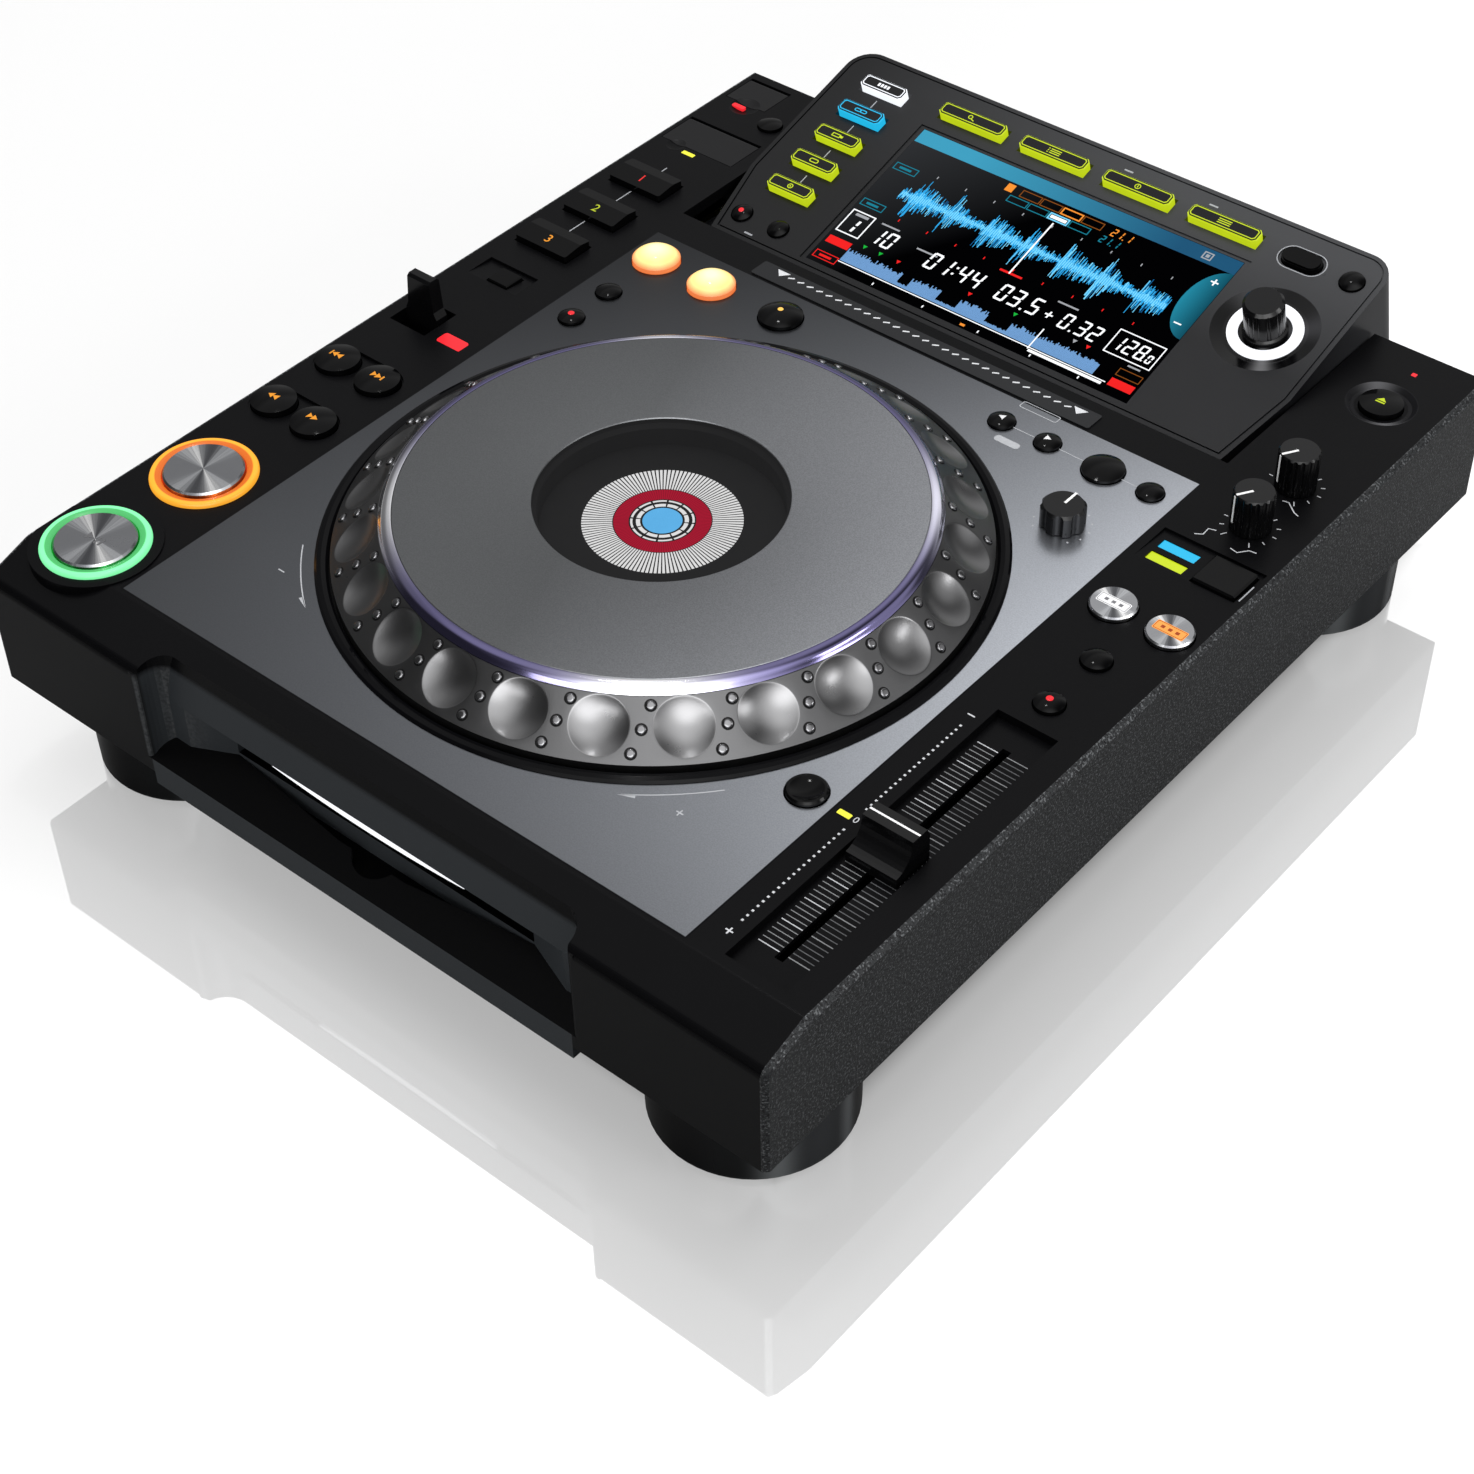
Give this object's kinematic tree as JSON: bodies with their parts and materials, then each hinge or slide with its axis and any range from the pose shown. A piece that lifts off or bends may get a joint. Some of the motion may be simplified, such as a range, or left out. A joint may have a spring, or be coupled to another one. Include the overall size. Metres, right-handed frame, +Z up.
{
  "type": "tabletop dj cd player",
  "caption": "Slot-loading tabletop disc player with a large jog wheel, a tilted screen unit, lit play and cue buttons, a tempo slider and tall round feet.",
  "frame": {"origin": "on the surface it stands on, under the middle of the overall footprint", "axes": "+Z up, +Y from the front with the disc slot towards the rear, +X to the right seen from the front"},
  "size_m": [0.32, 0.405, 0.1053],
  "materials": {
    "case_black": "satin black sheet",
    "side_sparkle": "dark grey with fine metal flake",
    "deck_black": "fine textured black",
    "panel_grey": "satin grey",
    "gloss_black": "polished black",
    "screen_glass": "clear glass over a colour display",
    "foot_black": "brushed black with rubber pads",
    "light_guide": "lit translucent plastic",
    "inner_metal": "plated sheet and circuit boards",
    "wheel_metal": "dark satin metal with a bright rim",
    "disc_metal": "radially brushed",
    "lit_cap": "lit translucent dome",
    "knob_black": "satin black",
    "lit_key": "black face on a lit body"
  },
  "bodies": {
    "body": {"lower_case": "case_black", "side_plates": "side_sparkle", "top_deck": "deck_black", "centre_panel": "panel_grey", "jog_bezel": "gloss_black", "display_housing": "deck_black", "screen": "screen_glass", "feet": "foot_black", "light_guides": "light_guide", "drive_and_boards": "inner_metal"},
    "jog_wheel": {"jog_wheel": "wheel_metal"},
    "usb_door": {"usb_door": "deck_black"},
    "sd_door": {"sd_door": "deck_black"},
    "direction_lever": {"direction_lever": "knob_black"},
    "tempo_slider": {"tempo_slider": "knob_black"},
    "rotary_selector": {"rotary_selector": "knob_black"},
    "jog_adjust_knob": {"jog_adjust_knob": "knob_black"},
    "brake_knob": {"brake_knob": "knob_black"},
    "start_knob": {"start_knob": "knob_black"},
    "play_button": {"play_button": "disc_metal"},
    "cue_button": {"cue_button": "disc_metal"},
    "hot_cue_1": {"hot_cue_1": "gloss_black"},
    "hot_cue_2": {"hot_cue_2": "gloss_black"},
    "hot_cue_3": {"hot_cue_3": "gloss_black"},
    "rec_call_button": {"rec_call_button": "knob_black"},
    "loop_in_button": {"loop_in_button": "lit_cap"},
    "source_button_1": {"source_button_1": "lit_key"},
    "menu_button_1": {"menu_button_1": "lit_key"},
    "back_button": {"back_button": "gloss_black"},
    "jog_mode_button": {"jog_mode_button": "gloss_black"},
    "eject_button": {"eject_button": "gloss_black"},
    "master_button": {"master_button": "disc_metal"},
    "tempo_reset_button": {"tempo_reset_button": "gloss_black"},
    "power_switch": {"power_switch": "knob_black"},
    "search_back": {"search_back": "gloss_black"},
    "search_forward": {"search_forward": "gloss_black"},
    "track_search_back": {"track_search_back": "gloss_black"},
    "track_search_forward": {"track_search_forward": "gloss_black"},
    "usb_stop_button": {"usb_stop_button": "gloss_black"},
    "loop_out_button": {"loop_out_button": "lit_cap"},
    "reloop_button": {"reloop_button": "gloss_black"},
    "loop_mode_button": {"loop_mode_button": "gloss_black"},
    "slip_button": {"slip_button": "gloss_black"},
    "call_back_button": {"call_back_button": "gloss_black"},
    "call_forward_button": {"call_forward_button": "gloss_black"},
    "delete_button": {"delete_button": "gloss_black"},
    "memory_button": {"memory_button": "gloss_black"},
    "sync_button": {"sync_button": "disc_metal"},
    "tempo_range_button": {"tempo_range_button": "gloss_black"},
    "master_tempo_button": {"master_tempo_button": "gloss_black"},
    "source_button_2": {"source_button_2": "lit_key"},
    "source_button_3": {"source_button_3": "lit_key"},
    "source_button_4": {"source_button_4": "lit_key"},
    "source_button_5": {"source_button_5": "lit_key"},
    "menu_button_2": {"menu_button_2": "lit_key"},
    "menu_button_3": {"menu_button_3": "lit_key"},
    "menu_button_4": {"menu_button_4": "lit_key"},
    "tag_button": {"tag_button": "gloss_black"},
    "quantize_button": {"quantize_button": "gloss_black"},
    "time_mode_button": {"time_mode_button": "gloss_black"}
  },
  "joints": [
    {"name": "jog_wheel_spin", "type": "hinge", "parent": "body", "child": "jog_wheel", "pos_m": [0, -0.05948, 0.0819], "axis": [0, 0, 1], "continuous": true},
    {"name": "usb_door_swing", "type": "hinge", "parent": "body", "child": "usb_door", "pos_m": [-0.14665, 0.16987, 0.0801], "axis": [-1, 0, 0], "range_deg": [0, 95]},
    {"name": "sd_door_swing", "type": "hinge", "parent": "body", "child": "sd_door", "pos_m": [-0.13945, 0.13447, 0.0801], "axis": [-1, 0, 0], "range_deg": [0, 95]},
    {"name": "direction_lever_tip", "type": "hinge", "parent": "body", "child": "direction_lever", "pos_m": [-0.14455, -0.01853, 0.0679], "axis": [1, 0, 0], "range_deg": [0, 20]},
    {"name": "tempo_slider_slide", "type": "slide", "parent": "body", "child": "tempo_slider", "axis": [0, 1, 0], "range_m": [-0.049, 0.049]},
    {"name": "rotary_selector_turn", "type": "hinge", "parent": "body", "child": "rotary_selector", "pos_m": [0.0913, 0.14441, 0.09037], "axis": [0, -0.2723, 0.9622], "continuous": true},
    {"name": "jog_adjust_turn", "type": "hinge", "parent": "body", "child": "jog_adjust_knob", "pos_m": [0.0925, 0.02597, 0.0819], "axis": [0, 0, 1], "range_deg": [-135, 135]},
    {"name": "brake_turn", "type": "hinge", "parent": "body", "child": "brake_knob", "pos_m": [0.13925, 0.08807, 0.0819], "axis": [0, 0, 1], "range_deg": [-150, 150]},
    {"name": "start_turn", "type": "hinge", "parent": "body", "child": "start_knob", "pos_m": [0.13925, 0.06177, 0.0819], "axis": [0, 0, 1], "range_deg": [-150, 150]},
    {"name": "play_button_press", "type": "slide", "parent": "body", "child": "play_button", "axis": [0, 0, -1], "range_m": [0, 0.0012], "stiffness_N_per_m": 500, "springref_m": -0.001},
    {"name": "cue_button_press", "type": "slide", "parent": "body", "child": "cue_button", "axis": [0, 0, -1], "range_m": [0, 0.0012], "stiffness_N_per_m": 500, "springref_m": -0.001},
    {"name": "hot_cue_1_press", "type": "slide", "parent": "body", "child": "hot_cue_1", "axis": [0, 0, -1], "range_m": [0, 0.0012], "stiffness_N_per_m": 500, "springref_m": -0.001},
    {"name": "hot_cue_2_press", "type": "slide", "parent": "body", "child": "hot_cue_2", "axis": [0, 0, -1], "range_m": [0, 0.0012], "stiffness_N_per_m": 500, "springref_m": -0.001},
    {"name": "hot_cue_3_press", "type": "slide", "parent": "body", "child": "hot_cue_3", "axis": [0, 0, -1], "range_m": [0, 0.0012], "stiffness_N_per_m": 500, "springref_m": -0.001},
    {"name": "rec_call_button_press", "type": "slide", "parent": "body", "child": "rec_call_button", "axis": [0, 0, -1], "range_m": [0, 0.0012], "stiffness_N_per_m": 500, "springref_m": -0.001},
    {"name": "loop_in_button_press", "type": "slide", "parent": "body", "child": "loop_in_button", "axis": [0, 0, -1], "range_m": [0, 0.0012], "stiffness_N_per_m": 500, "springref_m": -0.001},
    {"name": "source_button_1_press", "type": "slide", "parent": "body", "child": "source_button_1", "axis": [0, 0.2723, -0.9622], "range_m": [0, 0.0012], "stiffness_N_per_m": 500, "springref_m": -0.001},
    {"name": "menu_button_1_press", "type": "slide", "parent": "body", "child": "menu_button_1", "axis": [0, 0.2723, -0.9622], "range_m": [0, 0.0012], "stiffness_N_per_m": 500, "springref_m": -0.001},
    {"name": "back_button_press", "type": "slide", "parent": "body", "child": "back_button", "axis": [0, 0.2723, -0.9622], "range_m": [0, 0.0012], "stiffness_N_per_m": 500, "springref_m": -0.001},
    {"name": "jog_mode_button_press", "type": "slide", "parent": "body", "child": "jog_mode_button", "axis": [0, 0, -1], "range_m": [0, 0.0012], "stiffness_N_per_m": 500, "springref_m": -0.001},
    {"name": "eject_button_press", "type": "slide", "parent": "body", "child": "eject_button", "axis": [0, 0, -1], "range_m": [0, 0.0012], "stiffness_N_per_m": 500, "springref_m": -0.001},
    {"name": "master_button_press", "type": "slide", "parent": "body", "child": "master_button", "axis": [0, 0, -1], "range_m": [0, 0.0012], "stiffness_N_per_m": 500, "springref_m": -0.001},
    {"name": "tempo_reset_button_press", "type": "slide", "parent": "body", "child": "tempo_reset_button", "axis": [0, 0, -1], "range_m": [0, 0.0012], "stiffness_N_per_m": 500, "springref_m": -0.001},
    {"name": "power_switch_press", "type": "slide", "parent": "body", "child": "power_switch", "axis": [0, -1, 0], "range_m": [0, 0.0012], "stiffness_N_per_m": 500, "springref_m": -0.001},
    {"name": "search_back_press", "type": "slide", "parent": "body", "child": "search_back", "axis": [0, 0, -1], "range_m": [0, 0.0012], "stiffness_N_per_m": 500, "springref_m": -0.001},
    {"name": "search_forward_press", "type": "slide", "parent": "body", "child": "search_forward", "axis": [0, 0, -1], "range_m": [0, 0.0012], "stiffness_N_per_m": 500, "springref_m": -0.001},
    {"name": "track_search_back_press", "type": "slide", "parent": "body", "child": "track_search_back", "axis": [0, 0, -1], "range_m": [0, 0.0012], "stiffness_N_per_m": 500, "springref_m": -0.001},
    {"name": "track_search_forward_press", "type": "slide", "parent": "body", "child": "track_search_forward", "axis": [0, 0, -1], "range_m": [0, 0.0012], "stiffness_N_per_m": 500, "springref_m": -0.001},
    {"name": "usb_stop_button_press", "type": "slide", "parent": "body", "child": "usb_stop_button", "axis": [0, 0, -1], "range_m": [0, 0.0012], "stiffness_N_per_m": 500, "springref_m": -0.001},
    {"name": "loop_out_button_press", "type": "slide", "parent": "body", "child": "loop_out_button", "axis": [0, 0, -1], "range_m": [0, 0.0012], "stiffness_N_per_m": 500, "springref_m": -0.001},
    {"name": "reloop_button_press", "type": "slide", "parent": "body", "child": "reloop_button", "axis": [0, 0, -1], "range_m": [0, 0.0012], "stiffness_N_per_m": 500, "springref_m": -0.001},
    {"name": "loop_mode_button_press", "type": "slide", "parent": "body", "child": "loop_mode_button", "axis": [0, 0, -1], "range_m": [0, 0.0012], "stiffness_N_per_m": 500, "springref_m": -0.001},
    {"name": "slip_button_press", "type": "slide", "parent": "body", "child": "slip_button", "axis": [0, 0, -1], "range_m": [0, 0.0012], "stiffness_N_per_m": 500, "springref_m": -0.001},
    {"name": "call_back_button_press", "type": "slide", "parent": "body", "child": "call_back_button", "axis": [0, 0, -1], "range_m": [0, 0.0012], "stiffness_N_per_m": 500, "springref_m": -0.001},
    {"name": "call_forward_button_press", "type": "slide", "parent": "body", "child": "call_forward_button", "axis": [0, 0, -1], "range_m": [0, 0.0012], "stiffness_N_per_m": 500, "springref_m": -0.001},
    {"name": "delete_button_press", "type": "slide", "parent": "body", "child": "delete_button", "axis": [0, 0, -1], "range_m": [0, 0.0012], "stiffness_N_per_m": 500, "springref_m": -0.001},
    {"name": "memory_button_press", "type": "slide", "parent": "body", "child": "memory_button", "axis": [0, 0, -1], "range_m": [0, 0.0012], "stiffness_N_per_m": 500, "springref_m": -0.001},
    {"name": "sync_button_press", "type": "slide", "parent": "body", "child": "sync_button", "axis": [0, 0, -1], "range_m": [0, 0.0012], "stiffness_N_per_m": 500, "springref_m": -0.001},
    {"name": "tempo_range_button_press", "type": "slide", "parent": "body", "child": "tempo_range_button", "axis": [0, 0, -1], "range_m": [0, 0.0012], "stiffness_N_per_m": 500, "springref_m": -0.001},
    {"name": "master_tempo_button_press", "type": "slide", "parent": "body", "child": "master_tempo_button", "axis": [0, 0, -1], "range_m": [0, 0.0012], "stiffness_N_per_m": 500, "springref_m": -0.001},
    {"name": "source_button_2_press", "type": "slide", "parent": "body", "child": "source_button_2", "axis": [0, 0.2723, -0.9622], "range_m": [0, 0.0012], "stiffness_N_per_m": 500, "springref_m": -0.001},
    {"name": "source_button_3_press", "type": "slide", "parent": "body", "child": "source_button_3", "axis": [0, 0.2723, -0.9622], "range_m": [0, 0.0012], "stiffness_N_per_m": 500, "springref_m": -0.001},
    {"name": "source_button_4_press", "type": "slide", "parent": "body", "child": "source_button_4", "axis": [0, 0.2723, -0.9622], "range_m": [0, 0.0012], "stiffness_N_per_m": 500, "springref_m": -0.001},
    {"name": "source_button_5_press", "type": "slide", "parent": "body", "child": "source_button_5", "axis": [0, 0.2723, -0.9622], "range_m": [0, 0.0012], "stiffness_N_per_m": 500, "springref_m": -0.001},
    {"name": "menu_button_2_press", "type": "slide", "parent": "body", "child": "menu_button_2", "axis": [0, 0.2723, -0.9622], "range_m": [0, 0.0012], "stiffness_N_per_m": 500, "springref_m": -0.001},
    {"name": "menu_button_3_press", "type": "slide", "parent": "body", "child": "menu_button_3", "axis": [0, 0.2723, -0.9622], "range_m": [0, 0.0012], "stiffness_N_per_m": 500, "springref_m": -0.001},
    {"name": "menu_button_4_press", "type": "slide", "parent": "body", "child": "menu_button_4", "axis": [0, 0.2723, -0.9622], "range_m": [0, 0.0012], "stiffness_N_per_m": 500, "springref_m": -0.001},
    {"name": "tag_button_press", "type": "slide", "parent": "body", "child": "tag_button", "axis": [0, 0.2723, -0.9622], "range_m": [0, 0.0012], "stiffness_N_per_m": 500, "springref_m": -0.001},
    {"name": "quantize_button_press", "type": "slide", "parent": "body", "child": "quantize_button", "axis": [0, 0.2723, -0.9622], "range_m": [0, 0.0012], "stiffness_N_per_m": 500, "springref_m": -0.001},
    {"name": "time_mode_button_press", "type": "slide", "parent": "body", "child": "time_mode_button", "axis": [0, 0.2723, -0.9622], "range_m": [0, 0.0012], "stiffness_N_per_m": 500, "springref_m": -0.001}
  ]
}
